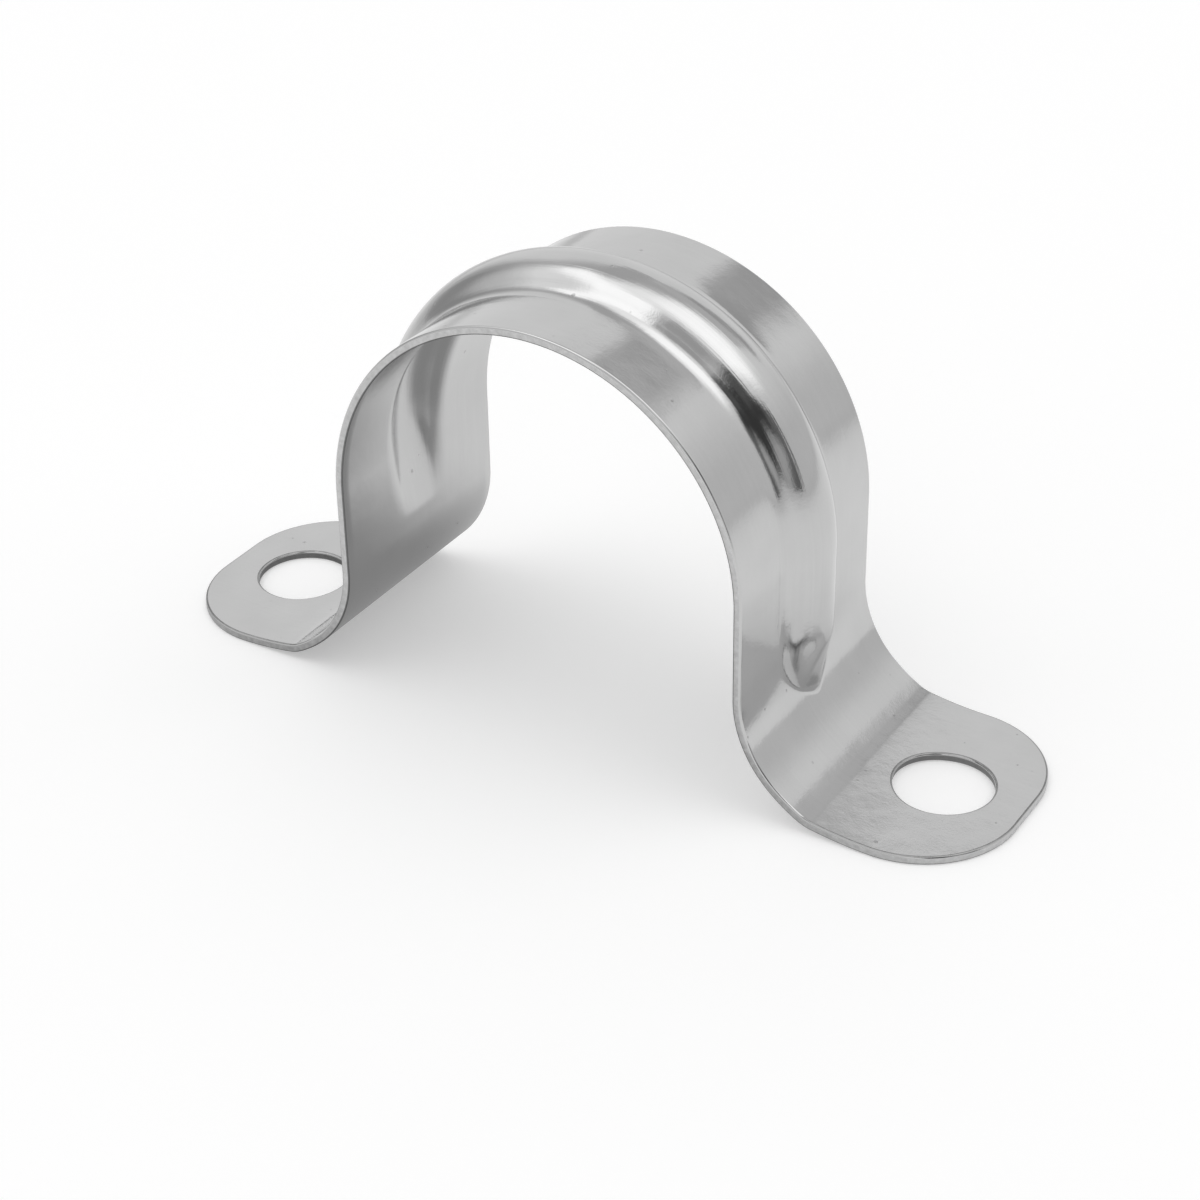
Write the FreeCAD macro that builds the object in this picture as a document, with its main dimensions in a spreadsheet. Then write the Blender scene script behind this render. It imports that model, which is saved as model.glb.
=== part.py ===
import FreeCAD, Part
import math
import os
import re
import Sketcher

# Saddle strap for a 25 mm conduit: one strip of sheet metal, blanked, beaded and bent.
# X runs from foot to foot, Y along the conduit and Z up from the wall.
# The origin is on the wall, midway between the two screw holes.

doc = FreeCAD.newDocument("conduit_strap")
sheet = doc.addObject("Spreadsheet::Sheet", "sizes")

# millimetres and degrees
driving_sizes = [
    ("conduit_radius", 12.5, "inner radius of the arch, and its centre's height over the wall"),
    ("sheet_thickness", 0.5, "thickness of the strip"),
    ("strap_width", 14.6, "width of the strip along the conduit"),
    ("bend_radius", 6.6, "radius between leg and foot, on the hollow side"),
    ("hole_spacing", 43.4, "between the centres of the two screw holes"),
    ("hole_diameter", 5.6, "screw hole"),
    ("hole_to_tip", 4.95, "from the centre of a hole to the tip of its foot"),
    ("corner_radius", 5.8, "rounded corners of each foot, seen from above"),
    ("bead_crown_radius", 2.8, "radius of the bead's round back"),
    ("bead_height", 1.4, "rise of the bead over the strip"),
    ("bead_root_radius", 1.4, "hollow blend from the strip into the bead"),
    ("bead_left_run", 0.10, "bead below the arch on the left leg, up to its round end"),
    ("bead_right_turn", 11.0, "degrees that the bead follows the right bend, up to its round end"),
    ("edge_break", 0.1, "width that the punch takes off the outer edges"),
]
for row, (name, size, meaning) in enumerate(driving_sizes, start=1):
    sheet.set(f"A{row}", name)
    sheet.set(f"B{row}", str(size))
    sheet.set(f"C{row}", meaning)
    sheet.setAlias(f"B{row}", name)
doc.recompute()


def in_sheet(expression):
    """The expression with each size written as a cell of the sheet."""
    for name, size, meaning in driving_sizes:
        expression = re.sub(rf"\b{name}\b", f"sizes.{name}", expression)
    return expression


def value(expression):
    """The number that an expression of the sheet gives now."""
    return float(sheet.evalExpression(in_sheet(expression)))


body = doc.addObject("PartDesign::Body", "strap")
body.Label = "strap"
# the two legs come first and stay apart until the arch joins them
body.AllowCompound = True

# Sketch helpers: every dimension is bound to the sheet

horizontal_axis = -1
edge_start, edge_end, arc_centre = range(1, 4)


def new_sketch(name, plane_role):
    plane = next(item for item in body.Origin.OriginFeatures if item.Role == plane_role)
    sketch = body.newObject("Sketcher::SketchObject", name)
    sketch.AttachmentSupport = [(plane, "")]
    sketch.MapMode = "FlatFace"
    return sketch


def place_sketch(sketch, field, expression):
    sketch.setExpression(f"AttachmentOffset.{field}", in_sheet(expression))


def line(sketch, start, end, construction=False):
    segment = Part.LineSegment(FreeCAD.Vector(*start, 0), FreeCAD.Vector(*end, 0))
    return sketch.addGeometry(segment, construction)


def arc(sketch, centre, radius, start_angle, end_angle):
    circle = Part.Circle(FreeCAD.Vector(*centre, 0), FreeCAD.Vector(0, 0, 1), radius)
    turned = Part.ArcOfCircle(circle, math.radians(start_angle), math.radians(end_angle))
    return sketch.addGeometry(turned, False)


def rule(sketch, kind, *items):
    return sketch.addConstraint(Sketcher.Constraint(kind, *items))


def dimension(sketch, kind, items, expression):
    index = rule(sketch, kind, *items, value(expression))
    sketch.setExpression(f"Constraints[{index}]", in_sheet(expression))


def distance_from_origin(sketch, direction, item, point, expression, side=1):
    """Bind the distance of a point from the origin, on the positive or the negative side."""
    origin = (horizontal_axis, edge_start)
    ends = origin + (item, point) if side > 0 else (item, point) + origin
    dimension(sketch, direction, ends, expression)


# The side view of one leg, at an offset from its conduit side


def leg_path(sketch, side, offset):
    """Foot, bend and leg, from the tip up to the arch; returns the foot line and the leg line."""
    tip_x = side * value("hole_spacing / 2 + hole_to_tip")
    leg_x = side * value(f"conduit_radius + {offset}")
    leg_top = value("conduit_radius")
    bend = value(f"bend_radius + sheet_thickness - ({offset})")
    bend_x = leg_x + side * bend
    bend_z = value("bend_radius + sheet_thickness")
    foot_z = value(offset)
    start_angle = 270 if side < 0 else 180
    turn_at_foot, turn_at_leg = (edge_start, edge_end) if side < 0 else (edge_end, edge_start)

    foot = line(sketch, (tip_x, foot_z), (bend_x, foot_z))
    turn = arc(sketch, (bend_x, bend_z), bend, start_angle, start_angle + 90)
    leg = line(sketch, (leg_x, bend_z), (leg_x, leg_top))
    rule(sketch, "Tangent", foot, edge_end, turn, turn_at_foot)
    rule(sketch, "Tangent", turn, turn_at_leg, leg, edge_start)
    rule(sketch, "Vertical", leg)
    rule(sketch, "Horizontal", foot)
    dimension(sketch, "Radius", (turn,), f"bend_radius + sheet_thickness - ({offset})")
    distance_from_origin(sketch, "DistanceY", turn, arc_centre, "bend_radius + sheet_thickness")
    distance_from_origin(sketch, "DistanceX", foot, edge_start, "hole_spacing / 2 + hole_to_tip", side)
    distance_from_origin(sketch, "DistanceX", leg, edge_end, f"conduit_radius + {offset}", side)
    distance_from_origin(sketch, "DistanceY", leg, edge_end, "conduit_radius")
    return foot, leg


def join(sketch, first, first_point, second, second_point):
    rule(sketch, "Coincident", first, first_point, second, second_point)


# The bead's section: a round back over the strip, cut off below it


def crown_section(sketch, side, centre, radius, chord):
    """The part of a circle outside an upright chord, on the right or the left."""
    centre_x = side * value(centre)
    chord_x = side * value(chord)
    half_angle = math.degrees(math.acos((side * chord_x - side * centre_x) / value(radius)))
    middle_angle = 0 if side > 0 else 180
    back = arc(sketch, (centre_x, 0), value(radius), middle_angle - half_angle, middle_angle + half_angle)
    half_chord = value(radius) * math.sin(math.radians(half_angle))
    base = line(sketch, (chord_x, side * half_chord), (chord_x, -side * half_chord))
    join(sketch, back, edge_end, base, edge_start)
    join(sketch, base, edge_end, back, edge_start)
    rule(sketch, "Vertical", base)
    rule(sketch, "PointOnObject", back, arc_centre, horizontal_axis)
    dimension(sketch, "Radius", (back,), radius)
    distance_from_origin(sketch, "DistanceX", back, arc_centre, centre, side)
    distance_from_origin(sketch, "DistanceX", base, edge_start, chord, side)


def cap_section(sketch, side, radius, depth):
    """Half of the bead's section, whose straight side on the sketch's X axis is the turning axis."""
    centre_x = -value("bead_crown_radius - bead_height")
    top_x = centre_x + value(radius)
    base_x = -value(depth)
    half_angle = math.degrees(math.acos((base_x - centre_x) / value(radius)))
    half_chord = side * value(radius) * math.sin(math.radians(half_angle))
    angles = (0, half_angle) if side > 0 else (-half_angle, 0)
    at_top, at_base = (edge_start, edge_end) if side > 0 else (edge_end, edge_start)
    back = arc(sketch, (centre_x, 0), value(radius), *angles)
    base = line(sketch, (base_x, half_chord), (base_x, 0))
    axis = line(sketch, (base_x, 0), (top_x, 0))
    join(sketch, back, at_base, base, edge_start)
    join(sketch, base, edge_end, axis, edge_start)
    join(sketch, axis, edge_end, back, at_top)
    rule(sketch, "Vertical", base)
    rule(sketch, "PointOnObject", back, arc_centre, horizontal_axis)
    rule(sketch, "PointOnObject", axis, edge_start, horizontal_axis)
    rule(sketch, "PointOnObject", axis, edge_end, horizontal_axis)
    dimension(sketch, "Radius", (back,), radius)
    distance_from_origin(sketch, "DistanceX", back, arc_centre, "bead_crown_radius - bead_height", -1)
    distance_from_origin(sketch, "DistanceX", base, edge_start, depth, -1)


def bead(name, radius, depth, extrude_kind, turn_kind):
    """One bead-shaped body down both legs, with a ball end on each.

    radius is that of its round back; depth is how far its section reaches below the strip's
    outer side. It is added as the ridge, or taken away as the hollow under it.
    """
    centre = "conduit_radius + sheet_thickness - (bead_crown_radius - bead_height)"
    chord = f"conduit_radius + sheet_thickness - {depth}"
    bend_x = "(conduit_radius + sheet_thickness + bend_radius)"

    # down the whole right leg, and a short run down the left one
    runs = ((1, "right", "conduit_radius - sheet_thickness - bend_radius"), (-1, "left", "bead_left_run"))
    for side, word, run in runs:
        section = new_sketch(f"{name}_{word}_section", "XY_Plane")
        place_sketch(section, "Base.z", "conduit_radius")
        crown_section(section, side, centre, radius, chord)
        straight = body.newObject(extrude_kind, f"{name}_{word}_leg")
        straight.Profile = section
        straight.setExpression("Length", in_sheet(run))
        straight.Reversed = extrude_kind == "PartDesign::Pad"

    # the first degrees of the right bend
    bend_section = new_sketch(f"{name}_bend_section", "XY_Plane")
    place_sketch(bend_section, "Base.z", "bend_radius + sheet_thickness")
    crown_section(bend_section, 1, centre, radius, chord)
    half_width = value("strap_width / 2")
    axis = line(bend_section, (value(bend_x), -half_width), (value(bend_x), half_width), True)
    rule(bend_section, "Symmetric", axis, edge_start, axis, edge_end, horizontal_axis)
    dimension(bend_section, "DistanceY", (axis, edge_start, axis, edge_end), "strap_width")
    distance_from_origin(bend_section, "DistanceX", axis, edge_start, bend_x)
    right_bend = body.newObject(turn_kind, f"{name}_right_bend")
    right_bend.Profile = bend_section
    right_bend.ReferenceAxis = (bend_section, ["Axis0"])
    right_bend.setExpression("Angle", in_sheet("bead_right_turn"))
    right_bend.Reversed = True

    # ball ends, each turned about the line square to the strip at the end of its run
    right_cap = new_sketch(f"{name}_right_cap", "XZ_Plane")
    place_sketch(right_cap, "Base.x", f"{bend_x} - bend_radius * cos(bead_right_turn)")
    place_sketch(right_cap, "Base.y", "bend_radius + sheet_thickness - bend_radius * sin(bead_right_turn)")
    place_sketch(right_cap, "Rotation.Angle", "bead_right_turn")
    cap_section(right_cap, -1, radius, depth)
    left_cap = new_sketch(f"{name}_left_cap", "XZ_Plane")
    place_sketch(left_cap, "Base.x", "-(conduit_radius + sheet_thickness)")
    place_sketch(left_cap, "Base.y", "conduit_radius - bead_left_run")
    place_sketch(left_cap, "Rotation.Angle", "180")
    cap_section(left_cap, 1, radius, depth)
    for section in (right_cap, left_cap):
        end = body.newObject(turn_kind, f"{section.Name}_turned")
        end.Profile = section
        end.ReferenceAxis = (section, ["H_Axis"])
        end.Angle = 180
        end.Midplane = True


# The ridge first, trimmed at the sheet's middle so that its base stays inside the strip

bead("ridge", "bead_crown_radius", "sheet_thickness", "PartDesign::Pad", "PartDesign::Revolution")

reach = value("hole_spacing / 2 + hole_to_tip")
half_width = value("strap_width / 2")
leg_top = value("conduit_radius")

trim_sketch = new_sketch("trim_side_view", "XZ_Plane")
middle = value("sheet_thickness / 2")
left_foot, left_leg = leg_path(trim_sketch, -1, "sheet_thickness / 2")
right_foot, right_leg = leg_path(trim_sketch, 1, "sheet_thickness / 2")
left_drop = line(trim_sketch, (-reach, middle), (-reach, 0))
floor = line(trim_sketch, (-reach, 0), (reach, 0))
right_drop = line(trim_sketch, (reach, 0), (reach, middle))
lintel = line(trim_sketch, (leg_top + middle, leg_top), (-leg_top - middle, leg_top))
join(trim_sketch, left_foot, edge_start, left_drop, edge_start)
join(trim_sketch, left_drop, edge_end, floor, edge_start)
join(trim_sketch, floor, edge_end, right_drop, edge_start)
join(trim_sketch, right_drop, edge_end, right_foot, edge_start)
join(trim_sketch, right_leg, edge_end, lintel, edge_start)
join(trim_sketch, lintel, edge_end, left_leg, edge_end)
rule(trim_sketch, "Vertical", left_drop)
rule(trim_sketch, "Vertical", right_drop)
rule(trim_sketch, "PointOnObject", floor, edge_start, horizontal_axis)
rule(trim_sketch, "Horizontal", floor)
trim = body.newObject("PartDesign::Pocket", "ridge_trim")
trim.Profile = trim_sketch
trim.SideType = "Symmetric"
trim.setExpression("Length", in_sheet("strap_width"))

# The two bent legs with their feet

leg_sketch = new_sketch("leg_side_view", "XZ_Plane")
for side in (-1, 1):
    under_foot, under_leg = leg_path(leg_sketch, side, "0")
    top_foot, top_leg = leg_path(leg_sketch, side, "sheet_thickness")
    tip = line(leg_sketch, (side * reach, 0), (side * reach, value("sheet_thickness")))
    outer_x = value("conduit_radius + sheet_thickness")
    seam = line(leg_sketch, (side * leg_top, leg_top), (side * outer_x, leg_top))
    join(leg_sketch, under_foot, edge_start, tip, edge_start)
    join(leg_sketch, tip, edge_end, top_foot, edge_start)
    join(leg_sketch, under_leg, edge_end, seam, edge_start)
    join(leg_sketch, seam, edge_end, top_leg, edge_end)
legs = body.newObject("PartDesign::Pad", "legs")
legs.Profile = leg_sketch
legs.SideType = "Symmetric"
legs.setExpression("Length", in_sheet("strap_width"))
doc.recompute()

# Selecting edges by where they lie

touch = 1e-4


def height_over_strip(point):
    """Distance of a point from the strip's conduit side, square to it."""
    x = abs(point.x)
    z = point.z
    bend_x = value("conduit_radius + sheet_thickness + bend_radius")
    bend_z = value("sheet_thickness + bend_radius")
    if z > value("conduit_radius"):
        return math.hypot(x, z - value("conduit_radius")) - value("conduit_radius")
    if z > bend_z:
        return x - value("conduit_radius")
    if x < bend_x:
        return bend_z - math.hypot(x - bend_x, z - bend_z)
    return z


def edges_where(feature, test):
    """Names of the feature's edges that pass the test at both ends and in between."""
    names = []
    for number, edge in enumerate(feature.Shape.Edges, start=1):
        spots = [edge.valueAt(edge.FirstParameter + share * (edge.LastParameter - edge.FirstParameter))
                 for share in (0, 0.25, 0.5, 0.75, 1)]
        if all(test(spot) for spot in spots):
            names.append(f"Edge{number}")
    return names


def fillet(name, radius, test):
    base = body.Tip
    rounded = body.newObject("PartDesign::Fillet", name)
    rounded.Base = (base, edges_where(base, test))
    rounded.setExpression("Radius", in_sheet(radius))
    doc.recompute()
    return rounded


# Foot corners, seen from above


def at_foot_corner(point):
    return abs(abs(point.x) - reach) < touch and abs(abs(point.y) - half_width) < touch


fillet("foot_corners", "corner_radius", at_foot_corner)

# The hollow under the ridge leaves a bead of one sheet's thickness

bead("hollow", "bead_crown_radius - sheet_thickness", "2 * sheet_thickness",
     "PartDesign::Pocket", "PartDesign::Groove")
doc.recompute()


def root_test(level, radius):
    """A test for the edge where the bead's round back of this radius meets the strip."""
    centre_depth = value(f"bead_crown_radius - bead_height - sheet_thickness + {level}")
    half_root = math.sqrt(value(radius) ** 2 - centre_depth ** 2)

    def on_root(point):
        return (abs(height_over_strip(point) - value(level)) < touch
                and abs(point.y) < half_root + touch
                and abs(point.x) < reach - touch)
    return on_root


fillet("bead_root_outside", "bead_root_radius", root_test("sheet_thickness", "bead_crown_radius"))
fillet("bead_root_inside", "bead_root_radius + sheet_thickness",
       root_test("0", "bead_crown_radius - sheet_thickness"))

# The arch, drawn as one section through sheet and bead and turned from leg to leg


def beaded_section(sketch):
    """The whole section on the right: flat, root, bead, root and flat, one sheet thick."""
    crown_x = value("conduit_radius + sheet_thickness - (bead_crown_radius - bead_height)")
    root_centre_x = value("conduit_radius + sheet_thickness + bead_root_radius")
    between_centres = value("bead_crown_radius + bead_root_radius")
    root_turn = math.degrees(math.acos((root_centre_x - crown_x) / between_centres))
    root_centre_y = between_centres * math.sin(math.radians(root_turn))

    surfaces = []
    for offset, crown, root in (("sheet_thickness", "bead_crown_radius", "bead_root_radius"),
                                ("0", "bead_crown_radius - sheet_thickness",
                                 "bead_root_radius + sheet_thickness")):
        flat_x = value(f"conduit_radius + {offset}")
        back = arc(sketch, (crown_x, 0), value(crown), -root_turn, root_turn)
        dimension(sketch, "Radius", (back,), crown)
        flats = []
        for side in (-1, 1):
            turned = (180 - root_turn, 180) if side < 0 else (180, 180 + root_turn)
            at_back, at_flat = (edge_start, edge_end) if side < 0 else (edge_end, edge_start)
            blend = arc(sketch, (root_centre_x, side * root_centre_y), value(root), *turned)
            flat = line(sketch, (flat_x, side * root_centre_y), (flat_x, side * half_width))
            rule(sketch, "Tangent", back, edge_start if side < 0 else edge_end, blend, at_back)
            rule(sketch, "Tangent", blend, at_flat, flat, edge_start)
            rule(sketch, "Vertical", flat)
            dimension(sketch, "Radius", (blend,), root)
            flats.append(flat)
            distance_from_origin(sketch, "DistanceX", flat, edge_end, f"conduit_radius + {offset}")
            distance_from_origin(sketch, "DistanceY", flat, edge_end, "strap_width / 2", side)
        rule(sketch, "PointOnObject", back, arc_centre, horizontal_axis)
        distance_from_origin(sketch, "DistanceX", back, arc_centre,
                             "conduit_radius + sheet_thickness - (bead_crown_radius - bead_height)")
        surfaces.append(flats)
    for outer_flat, inner_flat, side in zip(*surfaces, (-1, 1)):
        outer_end = (value("conduit_radius + sheet_thickness"), side * half_width)
        edge = line(sketch, outer_end, (leg_top, side * half_width))
        join(sketch, outer_flat, edge_end, edge, edge_start)
        join(sketch, edge, edge_end, inner_flat, edge_end)


arch_section = new_sketch("arch_section", "XY_Plane")
place_sketch(arch_section, "Base.z", "conduit_radius")
beaded_section(arch_section)
arch = body.newObject("PartDesign::Revolution", "arch")
arch.Profile = arch_section
arch.ReferenceAxis = (arch_section, ["V_Axis"])
arch.Angle = 180
arch.Reversed = True
doc.recompute()

# Screw holes

hole_sketch = new_sketch("hole_plan", "XY_Plane")
for side in (-1, 1):
    centre = FreeCAD.Vector(side * value("hole_spacing / 2"), 0, 0)
    circle = Part.Circle(centre, FreeCAD.Vector(0, 0, 1), value("hole_diameter / 2"))
    hole = hole_sketch.addGeometry(circle, False)
    rule(hole_sketch, "PointOnObject", hole, arc_centre, horizontal_axis)
    dimension(hole_sketch, "Diameter", (hole,), "hole_diameter")
    distance_from_origin(hole_sketch, "DistanceX", hole, arc_centre, "hole_spacing / 2", side)
holes = body.newObject("PartDesign::Pocket", "screw_holes")
holes.Profile = hole_sketch
holes.SideType = "Symmetric"
holes.setExpression("Length", in_sheet("2 * conduit_radius"))
doc.recompute()

# The punch breaks the outline and the holes on the side away from the wall


def on_punched_edge(point):
    if abs(height_over_strip(point) - value("sheet_thickness")) > touch:
        return False
    corner_radius = value("corner_radius")
    corner_x = reach - corner_radius
    corner_y = half_width - corner_radius
    past_corner = abs(point.x) > corner_x and abs(point.y) > corner_y
    from_corner = math.hypot(abs(point.x) - corner_x, abs(point.y) - corner_y)
    from_hole = math.hypot(abs(point.x) - value("hole_spacing / 2"), point.y)
    on_side = abs(abs(point.y) - half_width) < touch
    on_tip = abs(abs(point.x) - reach) < touch
    on_corner = past_corner and abs(from_corner - corner_radius) < touch
    on_hole = abs(from_hole - value("hole_diameter / 2")) < touch
    return on_side or on_tip or on_corner or on_hole


punched = body.Tip
broken = body.newObject("PartDesign::Chamfer", "punched_edges")
broken.Base = (punched, edges_where(punched, on_punched_edge))
broken.setExpression("Size", in_sheet("edge_break"))
doc.recompute()

# Checks, then one file for the one piece

for item in doc.Objects:
    if "Invalid" in item.State or "Error" in item.State:
        raise RuntimeError(f"{item.Name} did not recompute: {item.State}")
for item in doc.Objects:
    if item.isDerivedFrom("Sketcher::SketchObject") and not item.FullyConstrained:
        raise RuntimeError(f"{item.Name} is not fully constrained")
if body.Shape.isNull() or not body.Shape.isValid() or len(body.Shape.Solids) != 1:
    raise RuntimeError("the strap is not one valid solid")

os.makedirs("parts", exist_ok=True)
body.Shape.exportStep("parts/strap.step")
print(f"strap: {body.Shape.Volume:.2f} cubic mm, {len(body.Shape.Faces)} faces")
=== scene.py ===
import math
import bmesh
import bpy
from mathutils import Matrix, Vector


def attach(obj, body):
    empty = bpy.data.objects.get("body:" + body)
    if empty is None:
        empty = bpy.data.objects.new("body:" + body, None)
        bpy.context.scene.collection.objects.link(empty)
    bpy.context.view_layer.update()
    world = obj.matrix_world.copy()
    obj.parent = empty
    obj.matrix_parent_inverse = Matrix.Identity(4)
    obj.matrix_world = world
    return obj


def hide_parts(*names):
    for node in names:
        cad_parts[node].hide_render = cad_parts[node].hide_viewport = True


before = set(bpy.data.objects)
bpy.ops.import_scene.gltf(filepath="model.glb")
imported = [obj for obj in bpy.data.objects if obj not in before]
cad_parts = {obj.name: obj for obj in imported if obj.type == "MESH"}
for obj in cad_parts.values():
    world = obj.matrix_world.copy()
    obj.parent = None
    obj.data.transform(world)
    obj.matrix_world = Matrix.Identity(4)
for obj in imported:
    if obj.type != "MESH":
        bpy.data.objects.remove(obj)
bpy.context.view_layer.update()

print("frame loaded")

# The strap's sizes in millimetres and degrees; it is drawn in millimetres and made metres at the end
strap = {
    "name": "strap_pressing",
    "conduitRadius": 12.5,
    "sheet": 0.5,
    "width": 14.6,
    "bendRadius": 6.6,          # on the hollow side, which is the side away from the wall
    "holeToHole": 43.4,
    "holeRadius": 2.8,
    "holeToTip": 4.95,
    "cornerRadius": 5.8,
    "crownRadius": 2.8,         # the bead's round back
    "crownHeight": 1.4,
    "rootRadius": 1.4,          # from the strip into the bead
    "leftStart": -6.5,          # where the bead begins to get lower, down the strip from the spring line
    "leftReach": 11.0,          # length of that run-out, a shallow one
    "leftFade": 1.15,           # how softly it ends: 1 a parabola, 1.5 without a crease
    "leftNarrow": 0.1,          # how it narrows: 0 keeps its width, 1 keeps its shape
    "rightStart": 4.2,          # the same on the right, where it runs into the bend
    "rightReach": 4.8,
    "rightBow": 1.25,           # it bows down first, and flattens out over the last of its length
    "rightFlatten": 0.8,
    "rightEase": 0.6,           # how much softer the root gets towards its tip
    "footTurn": 72.0,           # degrees of bend before the foot's own mesh starts
    "foldArcs": ((48, 60, 9.0), (60, 80, 2.2)),     # the bend eases off, then folds: degrees and radius
    "rolledEdge": 0.17,         # the punch side's rounded lip
    "brokenEdge": 0.08,         # the other lip
    "paintedShadeArc": 42,              # degrees over which the rolled lip is painted dark, a painted shade
    "holeGap": 0.1,             # what still counts as a hole's wall, over its radius; that wall gets a painted shade
    "sharpCorner": 60,          # degrees, from which a lip is broken
    "flatSteps": 6,
    "rootSteps": 8,
    "crownSteps": 28,
    "archSteps": 180,
    "legSteps": 40,
    "lowLegSteps": 5,           # under the left run-out, where nothing curves
    "bendSteps": (48, 52, 72),  # right bend along the run-out, right bend after it, left bend
    "cornerSteps": 40,
    "footSteps": (6, 5, 10),    # last of the bend, straight side, straight end
    "footRings": 8,
}

outerRadius = strap["conduitRadius"] + strap["sheet"]
halfWidth = strap["width"] / 2
springHeight = strap["conduitRadius"]
bendAxisX = outerRadius + strap["bendRadius"]
bendAxisZ = strap["sheet"] + strap["bendRadius"]
legLength = springHeight - bendAxisZ
crownDepth = strap["crownRadius"] - strap["crownHeight"]      # of its centre, under the strip
centreGap = strap["crownRadius"] + strap["rootRadius"]
rootAngle = math.degrees(math.acos((crownDepth + strap["rootRadius"]) / centreGap))
rootY = centreGap * math.sin(math.radians(rootAngle))
holeX = strap["holeToHole"] / 2
tipX = holeX + strap["holeToTip"]


def startPoint(name, place):
    # one vertex to draw from
    bpy.ops.object.select_all(action="DESELECT")
    bpy.ops.mesh.primitive_plane_add(size=1)
    thing = bpy.context.object
    thing.name = name
    bpy.ops.object.mode_set(mode="EDIT")
    bpy.ops.mesh.select_mode(type="VERT")
    bpy.ops.mesh.select_all(action="SELECT")
    bpy.ops.mesh.merge(type="CENTER")
    bpy.ops.mesh.select_all(action="SELECT")
    bpy.ops.transform.translate(value=place)
    return thing


def pick(test):
    # selects the vertices that pass the test, and nothing else
    drawing = bmesh.from_edit_mesh(bpy.context.object.data)
    bpy.ops.mesh.select_all(action="DESELECT")
    for vertex in drawing.verts:
        vertex.select = test(vertex.co)
    drawing.select_flush(True)
    bmesh.update_edit_mesh(bpy.context.object.data)


def pull(move, steps):
    # extrudes what is selected, in equal steps
    for count in range(steps):
        bpy.ops.mesh.extrude_region_move(TRANSFORM_OT_translate={"value": Vector(move) / steps})


def turn(angle, steps, centre, axis):
    # spins what is selected, anticlockwise seen from the axis's tip
    bpy.ops.mesh.spin(steps=steps, angle=-math.radians(angle), center=centre, axis=axis,
                      use_auto_merge=False)


def near(a, b):
    return abs(a - b) < 1e-3


def drawSection():
    # flat, root, crown, root, flat: the outside of the strip's section where the arch meets the right leg
    flat = halfWidth - rootY
    rootX = outerRadius + strap["rootRadius"]
    pull((0, flat, 0), strap["flatSteps"])
    turn(-rootAngle, strap["rootSteps"], (rootX, -rootY, springHeight), (0, 0, 1))
    turn(2 * rootAngle, strap["crownSteps"], (outerRadius - crownDepth, 0, springHeight), (0, 0, 1))
    turn(-rootAngle, strap["rootSteps"], (rootX, rootY, springHeight), (0, 0, 1))
    pull((0, flat, 0), strap["flatSteps"])


def drawLeg(side):
    # leg and bend, as far as the foot's own mesh, with more rows where the bead runs out
    alongY = (0, 1, 0)
    bendAxis = (side * bendAxisX, 0, bendAxisZ)
    leftEnd = strap["leftStart"] + strap["leftReach"]
    pick(lambda at: near(at.z, springHeight) and side * at.x > 0)
    alongRunOut, afterIt, leftBend = strap["bendSteps"]
    if side > 0:
        pull((0, 0, -legLength), strap["legSteps"])
        turns = ((endTurn, alongRunOut), (strap["footTurn"] - endTurn, afterIt))
    else:
        pull((0, 0, -leftEnd), strap["legSteps"])
        pull((0, 0, leftEnd - legLength), strap["lowLegSteps"])
        turns = ((strap["footTurn"], leftBend),)
    for angle, steps in turns:
        turn(-side * angle, steps, bendAxis, alongY)


def sectionHeight(across, depth, root):
    # of the bead over the strip: a round crown, its centre so deep, and a hollow root
    crown = strap["crownRadius"]
    edge = math.sqrt((crown + root) ** 2 - (depth + root) ** 2)
    if depth >= crown or across >= edge:
        return 0.0
    if across > edge * crown / (crown + root):
        return root - math.sqrt(root ** 2 - (edge - across) ** 2)
    return math.sqrt(crown ** 2 - across ** 2) - depth


def beadHeight(across, past, side):
    # at a distance past the start of a run-out: the left one is scaled down, the right one sinks away
    across = abs(across)
    if side < 0:
        left = max(1 - (past / strap["leftReach"]) ** 2, 1e-6) ** strap["leftFade"]
        across /= left ** strap["leftNarrow"]
        return left * sectionHeight(across, crownDepth, strap["rootRadius"])
    share = min(past / strap["rightReach"], 1)
    left = 1 - strap["rightBow"] * share ** 2
    if share > strap["rightFlatten"]:
        left = strap["rightBow"] * strap["rightFlatten"] / (1 - strap["rightFlatten"]) * (1 - share) ** 2
    depth = crownDepth + strap["crownHeight"] * (1 - left)
    return sectionHeight(across, depth, strap["rootRadius"] + strap["rightEase"] * share)


def pressEnds():
    # lets the bead run out into the strip on both legs
    drawing = bmesh.from_edit_mesh(bpy.context.object.data)
    for vertex in drawing.verts:
        at = vertex.co
        side = math.copysign(1, at.x)
        start = strap["rightStart"] if side > 0 else strap["leftStart"]
        if at.z > springHeight + 1e-3:
            # on the arch
            above = outerRadius * math.atan2(at.z - springHeight, side * at.x)
            if -above > start:
                spoke = Vector((at.x, 0, at.z - springHeight))
                spoke *= (outerRadius + beadHeight(at.y, -above - start, side)) / spoke.length
                at.x, at.z = spoke.x, springHeight + spoke.z
        elif at.z > bendAxisZ + 1e-3:
            # on the leg
            past = springHeight - at.z - start
            if past > 0:
                at.x = side * (outerRadius + beadHeight(at.y, past, side))
        else:
            # on the bend, in its hollow
            spoke = Vector((at.x - side * bendAxisX, 0, at.z - bendAxisZ))
            past = legLength + strap["bendRadius"] * math.atan2(-spoke.z, -side * spoke.x) - start
            past = max(past, 0)
            spoke *= (strap["bendRadius"] - beadHeight(at.y, past, side)) / spoke.length
            at.x, at.z = side * bendAxisX + spoke.x, bendAxisZ + spoke.z
    bmesh.update_edit_mesh(bpy.context.object.data)


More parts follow.
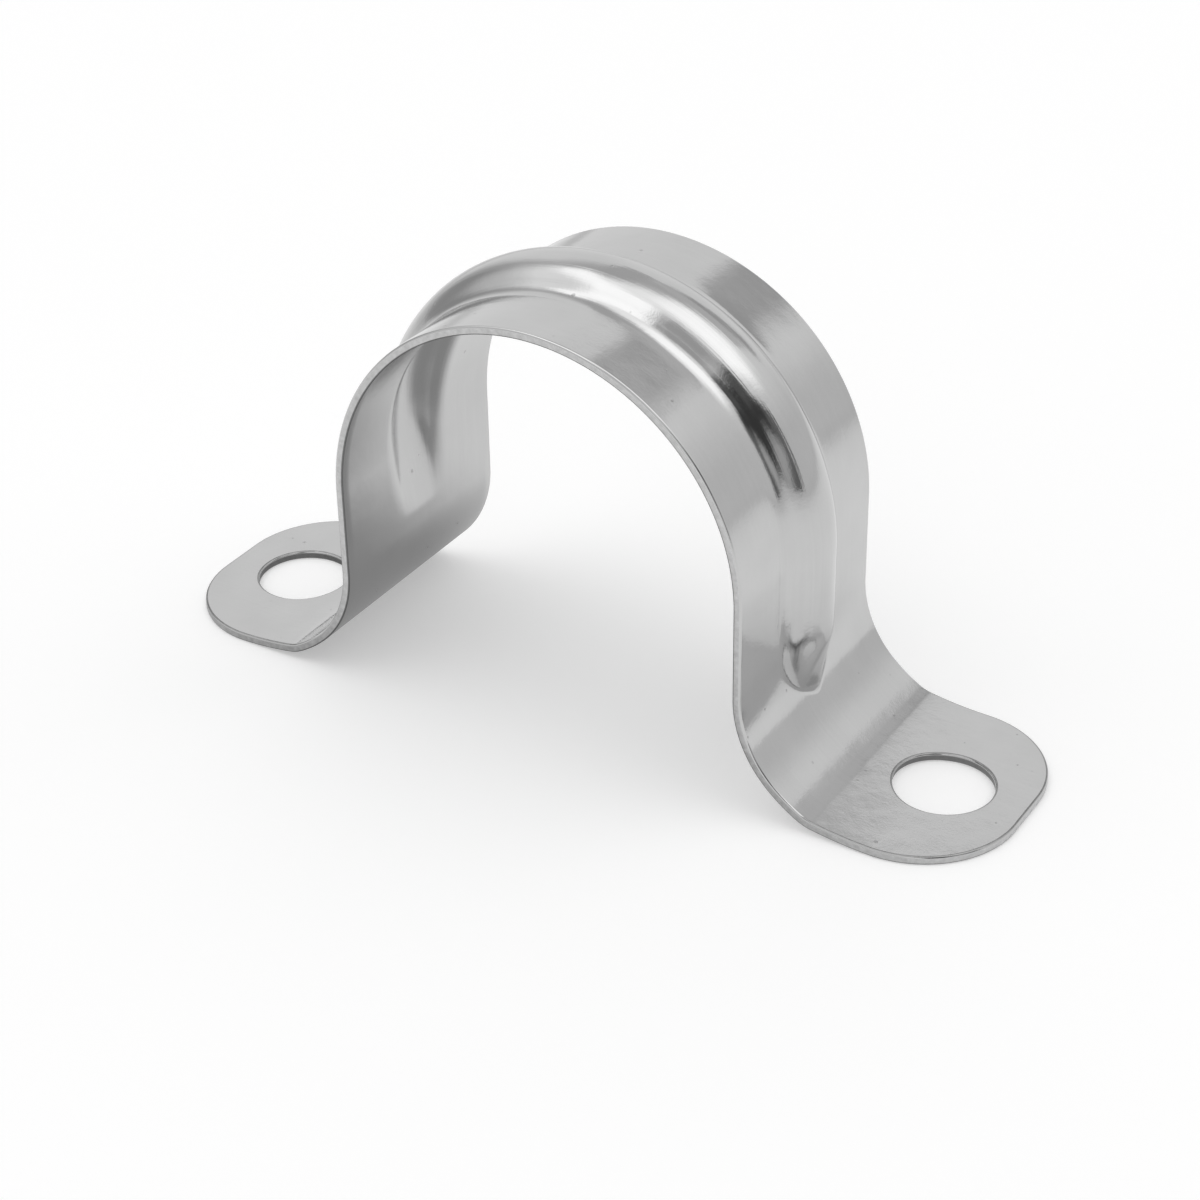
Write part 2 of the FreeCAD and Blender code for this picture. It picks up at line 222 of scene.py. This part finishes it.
def drawFoot(side):
    # the foot's outline from one long edge round to the other, then the hole, bridged to it
    lastTurn = 90 - strap["footTurn"]
    bendAxis = (side * bendAxisX, 0, bendAxisZ)
    cornerX = side * (tipX - strap["cornerRadius"])
    cornerY = halfWidth - strap["cornerRadius"]
    straight = cornerX - side * bendAxisX
    lineX = side * (bendAxisX - strap["bendRadius"] * math.cos(math.radians(strap["footTurn"])))
    flatZ = strap["sheet"]
    up = (0, 0, 1)
    lastRows, sideRows, endRows = strap["footSteps"]
    pick(lambda at: near(at.x, lineX) and at.z < bendAxisZ and near(at.y, -halfWidth))
    turn(-side * lastTurn, lastRows, bendAxis, (0, 1, 0))
    pull((straight, 0, 0), sideRows)
    turn(side * 90, strap["cornerSteps"], (cornerX, -cornerY, flatZ), up)
    pull((0, 2 * cornerY, 0), endRows)
    turn(side * 90, strap["cornerSteps"], (cornerX, cornerY, flatZ), up)
    pull((-straight, 0, 0), sideRows)
    turn(side * lastTurn, lastRows, bendAxis, (0, 1, 0))
    bpy.ops.mesh.select_all(action="SELECT")
    bpy.ops.mesh.remove_doubles(threshold=1e-3)
    outline = 2 * (strap["flatSteps"] + strap["rootSteps"]) + strap["crownSteps"]
    outline += 2 * (lastRows + sideRows + strap["cornerSteps"]) + endRows
    bpy.ops.mesh.select_all(action="DESELECT")
    # the hole starts high over the foot, where the bridge finds which points face each other
    bpy.ops.mesh.primitive_circle_add(vertices=outline, radius=strap["holeRadius"],
                                      location=(side * holeX, 0, bendAxisZ - 1))
    pick(lambda at: at.z < bendAxisZ and side * at.x > side * lineX - 1e-3)
    bpy.ops.mesh.bridge_edge_loops(number_cuts=strap["footRings"])
    drawing = bmesh.from_edit_mesh(bpy.context.object.data)
    for vertex in drawing.verts:
        at = vertex.co
        inner = bendAxisX - side * at.x
        if at.z < bendAxisZ and side * at.x > side * lineX:
            drop = math.sqrt(strap["bendRadius"] ** 2 - max(inner, 0) ** 2)
            at.z = bendAxisZ - drop
    bmesh.update_edit_mesh(bpy.context.object.data)


def foldHeight(reach):
    # of the folded foot over the wall, at a distance from the middle of the strap
    firstTurn = strap["foldArcs"][0][0]
    x = bendAxisX - strap["bendRadius"] * math.cos(math.radians(firstTurn))
    z = bendAxisZ - strap["bendRadius"] * math.sin(math.radians(firstTurn))
    for fromTurn, toTurn, radius in strap["foldArcs"]:
        start, end = math.radians(fromTurn), math.radians(toTurn)
        width = radius * (math.cos(start) - math.cos(end))
        if reach < x + width:
            cosine = math.cos(start) - (reach - x) / radius
            return z - radius * (math.sqrt(1 - cosine ** 2) - math.sin(start))
        x += width
        z -= radius * (math.sin(end) - math.sin(start))
    # a last long arc that ends level with the foot
    radius = (z - strap["sheet"]) / (1 - math.sin(end))
    cosine = math.cos(end) - (reach - x) / radius
    return strap["sheet"] + radius * (1 - math.sqrt(1 - cosine ** 2)) if cosine > 0 else strap["sheet"]


def foldFeet():
    # a sharper fold where bend and foot meet, as a folding edge leaves it
    foldStart = bendAxisX - strap["bendRadius"] * math.cos(math.radians(strap["foldArcs"][0][0]))
    drawing = bmesh.from_edit_mesh(bpy.context.object.data)
    for vertex in drawing.verts:
        at = vertex.co
        if at.z < springHeight / 2 and abs(at.x) > foldStart:
            at.z = foldHeight(abs(at.x))
    bmesh.update_edit_mesh(bpy.context.object.data)


endTurn = math.degrees((strap["rightStart"] + strap["rightReach"] - legLength) / strap["bendRadius"])
skin = startPoint(strap["name"], (outerRadius, -halfWidth, springHeight))
drawSection()
bpy.ops.mesh.select_all(action="SELECT")
turn(-180, strap["archSteps"], (0, 0, springHeight), (0, 1, 0))
drawLeg(1)
drawLeg(-1)
pressEnds()
drawFoot(1)
drawFoot(-1)
foldFeet()
bpy.ops.mesh.select_all(action="SELECT")
bpy.ops.mesh.remove_doubles(threshold=1e-4)
bpy.ops.mesh.normals_make_consistent(inside=False)
bpy.ops.object.mode_set(mode="OBJECT")
print("skin drawn:", len(skin.data.vertices), "points", len(skin.data.polygons), "faces")


def roundLips(thing, name, width, segments, material):
    lips = thing.modifiers.new(name, "BEVEL")
    lips.width = width
    lips.segments = segments
    lips.material = material
    lips.limit_method = "WEIGHT"
    lips.harden_normals = True
    bpy.ops.object.modifier_apply(modifier=name)


def markLips(thing, test):
    # gives full bevel weight to the lips that pass the test, and none to the others
    mesh = thing.data
    sheet, rim = set(), set()
    for face in mesh.polygons:
        (rim if face.material_index == 1 else sheet).update(face.edge_keys)
    weights = (mesh.attributes.get("bevel_weight_edge")
               or mesh.attributes.new("bevel_weight_edge", "FLOAT", "EDGE"))
    for edge in mesh.edges:
        key = edge.key
        weights.data[edge.index].value = 1.0 if key in sheet and key in rim and test(key) else 0.0


def outwards(at):
    # the way the strip faces there, on its outside
    side = math.copysign(1, at.x)
    if at.z > springHeight:
        facing = Vector((at.x, 0, at.z - springHeight))
    elif at.z > bendAxisZ:
        facing = Vector((side, 0, 0))
    elif abs(at.x) < bendAxisX - 1:
        facing = Vector((side * bendAxisX - at.x, 0, bendAxisZ - at.z))
    else:
        facing = Vector((0, 0, 1))
    return facing.normalized()


def tellEdges(thing):
    # the painted shade on the first half of the rolled lip on the feet, the duller inside, and the painted
    # shade on the walls of the holes
    for face in thing.data.polygons:
        at = face.center
        apart = math.degrees(face.normal.angle(outwards(at)))
        if face.material_index == 3 and (apart > strap["paintedShadeArc"] or at.z > 2 * strap["sheet"]):
            face.material_index = 0
        if face.material_index == 0 and apart > 90:
            face.material_index = 4
        # the walls of the holes get the dark grey of painted shade
        fromHole = math.hypot(abs(at.x) - holeX, at.y)
        if face.material_index == 1 and fromHole < strap["holeRadius"] + strap["holeGap"]:
            face.material_index = 2


def finishSheet(thing):
    # gives the skin its thickness towards the conduit, and rounds the punched edges
    outside = len(thing.data.vertices)
    thickness = thing.modifiers.new("thickness", "SOLIDIFY")
    thickness.thickness = strap["sheet"]
    thickness.offset = -1
    thickness.use_even_offset = True
    thickness.use_quality_normals = True
    thickness.material_offset_rim = 1
    bpy.ops.object.modifier_apply(modifier="thickness")
    markLips(thing, lambda key: max(key) < outside)
    roundLips(thing, "rolled", strap["rolledEdge"], 4, 3)
    markLips(thing, lambda key: True)
    mesh = thing.data
    weights = mesh.attributes["bevel_weight_edge"]
    corners = {}
    for face in mesh.polygons:
        for key in face.edge_keys:
            corners.setdefault(key, []).append(face.normal)
    for edge in mesh.edges:
        facing = corners[edge.key]
        if len(facing) == 2 and facing[0].angle(facing[1]) < math.radians(strap["sharpCorner"]):
            weights.data[edge.index].value = 0.0
    roundLips(thing, "broken", strap["brokenEdge"], 2, 2)
    tellEdges(thing)
    thing.scale = (0.001, 0.001, 0.001)
    bpy.ops.object.transform_apply(location=False, rotation=False, scale=True)


def wire(tree, kind, values, **settings):
    # one node, its inputs given as numbers or as other nodes' outputs
    node = tree.nodes.new(kind)
    for name, value in settings.items():
        setattr(node, name, value)
    for place, value in values.items():
        if isinstance(value, bpy.types.NodeSocket):
            tree.links.new(value, node.inputs[place])
        else:
            node.inputs[place].default_value = value
    return node


def blankMetal(name):
    metal = bpy.data.materials.new(name)
    metal.use_nodes = True
    shader = metal.node_tree.nodes["Principled BSDF"]
    shader.inputs["Metallic"].default_value = 1
    return metal, metal.node_tree, shader


def solidPlace(tree):
    # the object's own coordinates, in millimetres
    place = tree.nodes.new("ShaderNodeTexCoord").outputs["Object"]
    return wire(tree, "ShaderNodeVectorMath", {0: place, "Scale": 1000.0}, operation="SCALE").outputs[0]


def stripPlace(tree):
    # millimetres along the strip and across it, from the same coordinates
    place = tree.nodes.new("ShaderNodeTexCoord").outputs["Object"]
    apart = wire(tree, "ShaderNodeSeparateXYZ", {"Vector": place})
    above = wire(tree, "ShaderNodeMath", {0: apart.outputs["Z"], 1: springHeight / 1000},
                 operation="SUBTRACT")
    angle = wire(tree, "ShaderNodeMath", {0: apart.outputs["X"], 1: above.outputs[0]},
                 operation="ARCTAN2")
    along = wire(tree, "ShaderNodeMath", {0: angle.outputs[0], 1: outerRadius}, operation="MULTIPLY")
    across = wire(tree, "ShaderNodeMath", {0: apart.outputs["Y"], 1: 1000.0}, operation="MULTIPLY")
    strip = wire(tree, "ShaderNodeCombineXYZ", {"X": along.outputs[0], "Y": across.outputs[0]})
    return strip.outputs[0], across.outputs[0]


def grainOf(tree, place, sizes, detail, roughness=0.5):
    # noise, its size given for each axis in millimetres
    stretch = wire(tree, "ShaderNodeVectorMath", {0: place, 1: tuple(1 / size for size in sizes)},
                   operation="MULTIPLY")
    noise = wire(tree, "ShaderNodeTexNoise", {"Vector": stretch.outputs[0], "Scale": 1.0,
                                              "Detail": detail, "Roughness": roughness})
    return noise.outputs["Fac"]


def ramp(tree, value, fromLow, fromHigh, toLow, toHigh):
    return wire(tree, "ShaderNodeMapRange", {"Value": value, "From Min": fromLow, "From Max": fromHigh,
                                             "To Min": toLow, "To Max": toHigh}).outputs["Result"]


def times(tree, first, second):
    return wire(tree, "ShaderNodeMath", {0: first, 1: second}, operation="MULTIPLY").outputs[0]


def bump(tree, shader, height):
    # a relief whose height is given in millimetres
    relief = wire(tree, "ShaderNodeBump", {"Height": height, "Strength": 1.0, "Distance": 0.001})
    tree.links.new(relief.outputs[0], shader.inputs["Normal"])


steelLook = {
    "grey": 0.62,
    "streakSize": (9.0, 0.16, 1.0),     # the rolling and pressing marks that run along the strip
    "streakDepth": 0.0002,      # millimetres on the flats
    "beadDepth": 0.007,         # and on the bead, where the die rubbed
    "beadHalf": (2.4, 3.6),     # from the middle, where that rubbing fades out
    "beadFoot": (4.0, 8.0),     # and over the wall
    "peelSize": (1.6, 1.6, 1.6),        # the sheet's own unevenness, coarse and fine
    "peelDepth": 0.014,
    "fineSize": (0.16, 0.16, 0.16),
    "fineDepth": 0.0035,
    "pitSize": 1.1,             # one cell in a few holds a pit
    "pitShare": 0.35,
    "pitRadius": 0.11,
    "pitSoft": (0.02, -0.03),   # its rim, in cells
    "pitDepth": 0.006,
    "pitDark": 0.80,
    "pitDull": 0.2,
    "streakTone": (0.985, 1.01),
    "cloudSize": (3.5, 3.5, 3.5),
    "cloudTone": (0.96, 1.02),
    "middleOfNoise": (0.3, 0.7),        # most of a noise lies between these
    "roughness": (0.07, 0.13),
}


def makeSteel(name, duller):
    # bright rolled sheet: rubbed lengthwise, faintly uneven, with small dark pits
    steel, tree, shader = blankMetal(name)
    solid = solidPlace(tree)
    strip, across = stripPlace(tree)
    look = steelLook
    most = look["middleOfNoise"]
    streaks = grainOf(tree, strip, look["streakSize"], 3.0, 0.6)
    peel = grainOf(tree, solid, look["peelSize"], 2.0)
    fine = grainOf(tree, solid, look["fineSize"], 3.0, 0.7)
    cloudy = grainOf(tree, solid, look["cloudSize"], 3.0)
    offset = wire(tree, "ShaderNodeMath", {0: across}, operation="ABSOLUTE").outputs[0]
    middle = ramp(tree, offset, look["beadHalf"][1], look["beadHalf"][0], 0.0, 1.0)
    above = wire(tree, "ShaderNodeSeparateXYZ", {"Vector": solid}).outputs["Z"]
    onBead = times(tree, middle, ramp(tree, above, *look["beadFoot"], 0.0, 1.0))

    cells = wire(tree, "ShaderNodeTexVoronoi", {"Vector": solid, "Scale": 1 / look["pitSize"],
                                                "Randomness": 1.0})
    lot = wire(tree, "ShaderNodeSeparateColor", {"Color": cells.outputs["Color"]})
    chosen = ramp(tree, lot.outputs["Red"], look["pitShare"], look["pitShare"] - 0.02, 0.0, 1.0)
    size = ramp(tree, lot.outputs["Green"], 0.0, 1.0, 0.35 * look["pitRadius"], look["pitRadius"])
    inside = wire(tree, "ShaderNodeMath", {0: cells.outputs["Distance"], 1: size}, operation="SUBTRACT")
    pit = times(tree, chosen, ramp(tree, inside.outputs[0], *look["pitSoft"], 0.0, 1.0))

    tone = times(tree, ramp(tree, streaks, *most, *look["streakTone"]),
                 ramp(tree, cloudy, *most, *look["cloudTone"]))
    tone = times(tree, tone, ramp(tree, pit, 0.0, 1.0, look["grey"], look["grey"] * look["pitDark"]))
    colour = wire(tree, "ShaderNodeCombineColor", {"Red": tone, "Green": tone, "Blue": tone})
    tree.links.new(colour.outputs[0], shader.inputs["Base Color"])
    sheen = ramp(tree, cloudy, *most, *look["roughness"])
    rough = wire(tree, "ShaderNodeMath", {0: sheen, 1: ramp(tree, pit, 0.0, 1.0, duller, look["pitDull"])},
                 operation="ADD")
    tree.links.new(rough.outputs[0], shader.inputs["Roughness"])

    height = times(tree, streaks, ramp(tree, onBead, 0.0, 1.0, look["streakDepth"], look["beadDepth"]))
    for part in (times(tree, peel, look["peelDepth"]), times(tree, fine, look["fineDepth"]),
                 times(tree, pit, -look["pitDepth"])):
        height = wire(tree, "ShaderNodeMath", {0: height, 1: part}, operation="ADD").outputs[0]
    bump(tree, shader, height)
    return steel


edgeLook = {
    "tornSize": (0.35, 0.35, 0.35),
    "tone": (0.82, 1.12),       # of the grey
    "gloss": (0.8, 1.2),        # of the roughness
}


def makeEdge(name, grey, roughness, depth):
    # a punched edge, torn here and there
    edge, tree, shader = blankMetal(name)
    look = edgeLook
    most = steelLook["middleOfNoise"]
    torn = grainOf(tree, solidPlace(tree), look["tornSize"], 3.0, 0.6)
    tone = ramp(tree, torn, *most, *(grey * share for share in look["tone"]))
    colour = wire(tree, "ShaderNodeCombineColor", {"Red": tone, "Green": tone, "Blue": tone})
    tree.links.new(colour.outputs[0], shader.inputs["Base Color"])
    rough = ramp(tree, torn, *most, *(roughness * share for share in look["gloss"]))
    tree.links.new(rough, shader.inputs["Roughness"])
    bump(tree, shader, times(tree, torn, depth))
    return edge


skin.data.materials.append(makeSteel("bright_steel", 0.0))
skin.data.materials.append(makeEdge("sheared_edge", 0.66, 0.38, 0.02))
# rough broken lips and hole walls: the roughness is their own, their dark grey a painted shade
skin.data.materials.append(makeEdge("broken_lip_and_hole_painted_shade", 0.26, 0.45, 0.02))
# the rolled lip on the feet: its dark grey is a painted shade
skin.data.materials.append(makeEdge("rolled_lip_painted_shade", 0.33, 0.30, 0.01))
skin.data.materials.append(makeSteel("duller_inside", 0.13))
bpy.ops.object.select_all(action="DESELECT")
skin.select_set(True)
bpy.context.view_layer.objects.active = skin
bpy.ops.object.shade_smooth()
finishSheet(skin)
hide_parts("strap")
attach(skin, "root")
print("strap finished:", len(skin.data.polygons), "faces")

# The studio: a pale floor, a pale surround, one camera

view = {
    "azimuth": 32.243,
    "elevation": 31.800,
    "roll": -1.037,
    "distance": 0.15165,
    "aim": (0.0018784, -0.0033381, 0.0078301),
    "lens": 82.044,
}

studio = {
    "floorSize": 3.0,
    "floorColour": 0.8,
    "floorLift": 0.30,          # what the camera sees over the lit floor, so that it reads white
    "paintedFloorLight": 0.88,         # the floor as the metal sees it: painted light, a glow standing in for the lit floor
    "paintedShadowCentre": (-0.0040, -0.0003),      # with a painted shadow, a soft darker rectangle under the arch
    "paintedShadowHalf": (0.0239, 0.0119),
    "paintedShadowRim": (0.0294, 0.0152),
    "paintedShadow": 0.39,              # what is left of the tone in that painted shadow
    "farFrom": 0.05,
    "farTo": 0.30,
    "far": 0.72,                # and painted shade far off, towards the horizon
    "dome": 0.85,
    # each card: azimuth, elevation, half width, half height, rim and tilt in degrees, and how bright
    "cards": {
        "overhead": (-107, 89, 16, 45, 24, 48, 1.24),
        "farRight": (117, -1, 50, 28, 24, -16, 0.66),
        "leftSide": (-92, 24, 19, 31, 24, -23, 0.35),
        "leftLow": (-81, 29, 16, 10, 22, -25, 0.70),
        "leftBack": (-121, 60, 36, 13, 22, -19, 0.55),
        "leftFront": (-73, 48, 17, 14, 20, -17, 1.04),
        "rightBox": (100, 66, 16, 21, 14, -23, 1.50),
        "leftBox": (-58, 64, 22, 8, 12, 3, 1.53),
        "leftBoxLow": (-26, 62, 13, 12, 7, 22, 1.56),
        "frontGap": (26, 54, 12, 11, 11, -50, 0.46),
        "black": (59, 20, 23, 19, 8, -8, 0.05),
        "blackLegLeft": (53, 40, 10, 8, 8, 37, 0.11),
        "blackLegRight": (83, 4, 8, 27, 8, 3, 0.15),
        "blackMiddle": (66, 10, 9, 11, 11, -20, 0.46),
        "backCard": (172, 35, 8, 16, 5, -30, 0.44),
        "streakHigh": (-149, 56, 18, 6, 1, 57, 0.53),
        "farHigh": (166, 46, 15, 8, 1, 20, 0.61),
        "sideLow": (-29, 9, 40, 34, 20, 20, 0.70),
    },
}


def within(tree, span, inner, outer):
    # 1 where the span is under the inner number, 0 over the outer one
    return wire(tree, "ShaderNodeMapRange", {"Value": span, "From Min": outer, "From Max": inner,
                                             "To Min": 0.0, "To Max": 1.0},
                interpolation_type="SMOOTHSTEP").outputs["Result"]


def layCard(tree, direction, below, card):
    # lays one card over what is there so far: flat, far away, with a soft rim
    middle, height, halfWide, halfHigh, rim, tilt, bright = card
    azimuth, elevation, tilt = math.radians(middle), math.radians(height), math.radians(tilt)
    out = Vector((math.sin(azimuth) * math.cos(elevation), -math.cos(azimuth) * math.cos(elevation),
                  math.sin(elevation)))
    level = Vector((math.cos(azimuth), math.sin(azimuth), 0))
    upright = out.cross(level)
    wide = level * math.cos(tilt) + upright * math.sin(tilt)
    high = upright * math.cos(tilt) - level * math.sin(tilt)
    towards = wire(tree, "ShaderNodeVectorMath", {0: direction, 1: out},
                   operation="DOT_PRODUCT").outputs["Value"]
    ahead = wire(tree, "ShaderNodeMath", {0: towards, 1: 0.05}, operation="MAXIMUM").outputs[0]
    cover = wire(tree, "ShaderNodeMath", {0: towards, 1: 0.06}, operation="GREATER_THAN").outputs[0]
    for axis, half in ((wide, halfWide), (high, halfHigh)):
        along = wire(tree, "ShaderNodeVectorMath", {0: direction, 1: axis}, operation="DOT_PRODUCT")
        offset = wire(tree, "ShaderNodeMath", {0: along.outputs["Value"], 1: ahead}, operation="DIVIDE")
        span = wire(tree, "ShaderNodeMath", {0: offset.outputs[0]}, operation="ABSOLUTE").outputs[0]
        cover = times(tree, cover, within(tree, span, math.tan(math.radians(max(half - rim / 2, 0))),
                                          math.tan(math.radians(half + rim / 2))))
    return wire(tree, "ShaderNodeMix", {0: cover, 2: below, 3: bright}, data_type="FLOAT").outputs[0]


def makeSurround():
    # the camera sees plain white round the strap, and the metal sees the studio's cards
    world = bpy.data.worlds.new("surround")
    bpy.context.scene.world = world
    world.use_nodes = True
    tree = world.node_tree
    tree.nodes.clear()
    direction = tree.nodes.new("ShaderNodeTexCoord").outputs["Generated"]
    seen = studio["dome"]
    for card in studio["cards"].values():
        seen = layCard(tree, direction, seen, card)
    cards = wire(tree, "ShaderNodeBackground", {"Color": (1, 1, 1, 1), "Strength": seen})
    white = wire(tree, "ShaderNodeBackground", {"Color": (1, 1, 1, 1), "Strength": 1.0})
    path = tree.nodes.new("ShaderNodeLightPath")
    either = wire(tree, "ShaderNodeMixShader", {0: path.outputs["Is Camera Ray"], 1: cards.outputs[0],
                                                2: white.outputs[0]})
    wire(tree, "ShaderNodeOutputWorld", {"Surface": either.outputs[0]})


def makeFloorPaint():
    # matt white that keeps the strap's shadow, lifted for the camera; the metal sees a painted glow instead,
    # with a painted shadow under the arch and painted shade far off
    paint = bpy.data.materials.new("floor_paint")
    paint.use_nodes = True
    tree = paint.node_tree
    tree.nodes.clear()
    place = tree.nodes.new("ShaderNodeTexCoord").outputs["Object"]
    apart = wire(tree, "ShaderNodeSeparateXYZ", {"Vector": place})
    # the painted shadow: a soft rectangle under the arch, darker in the glow the metal sees
    under = 1.0
    for axis in (0, 1):
        offset = wire(tree, "ShaderNodeMath", {0: apart.outputs[axis], 1: studio["paintedShadowCentre"][axis]},
                      operation="SUBTRACT")
        span = wire(tree, "ShaderNodeMath", {0: offset.outputs[0]}, operation="ABSOLUTE").outputs[0]
        half, rim = studio["paintedShadowHalf"][axis], studio["paintedShadowRim"][axis]
        under = times(tree, under, within(tree, span, half - rim / 2, half + rim / 2))
    paintedShadow = ramp(tree, under, 0.0, 1.0, 1.0, studio["paintedShadow"])
    # painted shade that dims the glow with distance from the strap
    distance = wire(tree, "ShaderNodeVectorMath", {0: place}, operation="LENGTH")
    far = wire(tree, "ShaderNodeMapRange",
               {"Value": distance.outputs["Value"], "From Min": studio["farFrom"],
                "From Max": studio["farTo"], "To Min": 1.0, "To Max": studio["far"]},
               interpolation_type="SMOOTHSTEP")
    # painted light and shade: the floor's glow, darkened under the arch and far off, which only the metal's
    # reflections see
    tone = times(tree, times(tree, paintedShadow, far.outputs["Result"]), studio["paintedFloorLight"])
    mirrored = wire(tree, "ShaderNodeEmission", {"Color": (1, 1, 1, 1), "Strength": tone})
    path = tree.nodes.new("ShaderNodeLightPath")
    grey = studio["floorColour"]
    matt = wire(tree, "ShaderNodeBsdfDiffuse", {"Color": (grey, grey, grey, 1)})
    lift = times(tree, path.outputs["Is Camera Ray"], studio["floorLift"])
    glow = wire(tree, "ShaderNodeEmission", {"Color": (1, 1, 1, 1), "Strength": lift})
    lit = wire(tree, "ShaderNodeAddShader", {0: matt.outputs[0], 1: glow.outputs[0]})
    shown = wire(tree, "ShaderNodeMixShader", {0: path.outputs["Is Glossy Ray"], 1: lit.outputs[0],
                                               2: mirrored.outputs[0]})
    wire(tree, "ShaderNodeOutputMaterial", {"Surface": shown.outputs[0]})
    return paint


bpy.ops.object.select_all(action="DESELECT")
bpy.ops.mesh.primitive_plane_add(size=studio["floorSize"], location=(0, 0, -0.00002))
floor = bpy.context.object
floor.name = "floor"
floor.data.materials.append(makeFloorPaint())
makeSurround()
print("studio set")

azimuth, elevation, roll = (math.radians(view[angle]) for angle in ("azimuth", "elevation", "roll"))
back = Vector((math.sin(azimuth) * math.cos(elevation), -math.cos(azimuth) * math.cos(elevation),
               math.sin(elevation)))
bpy.ops.object.camera_add(location=Vector(view["aim"]) + back * view["distance"],
                          rotation=(math.pi / 2 - elevation, 0, azimuth))
camera = bpy.context.object
camera.rotation_euler.rotate_axis("Z", roll)
camera.data.lens = view["lens"]
camera.data.sensor_width = 36
camera.data.clip_start = 0.001
bpy.context.scene.camera = camera
bpy.context.scene.view_settings.view_transform = "Standard"
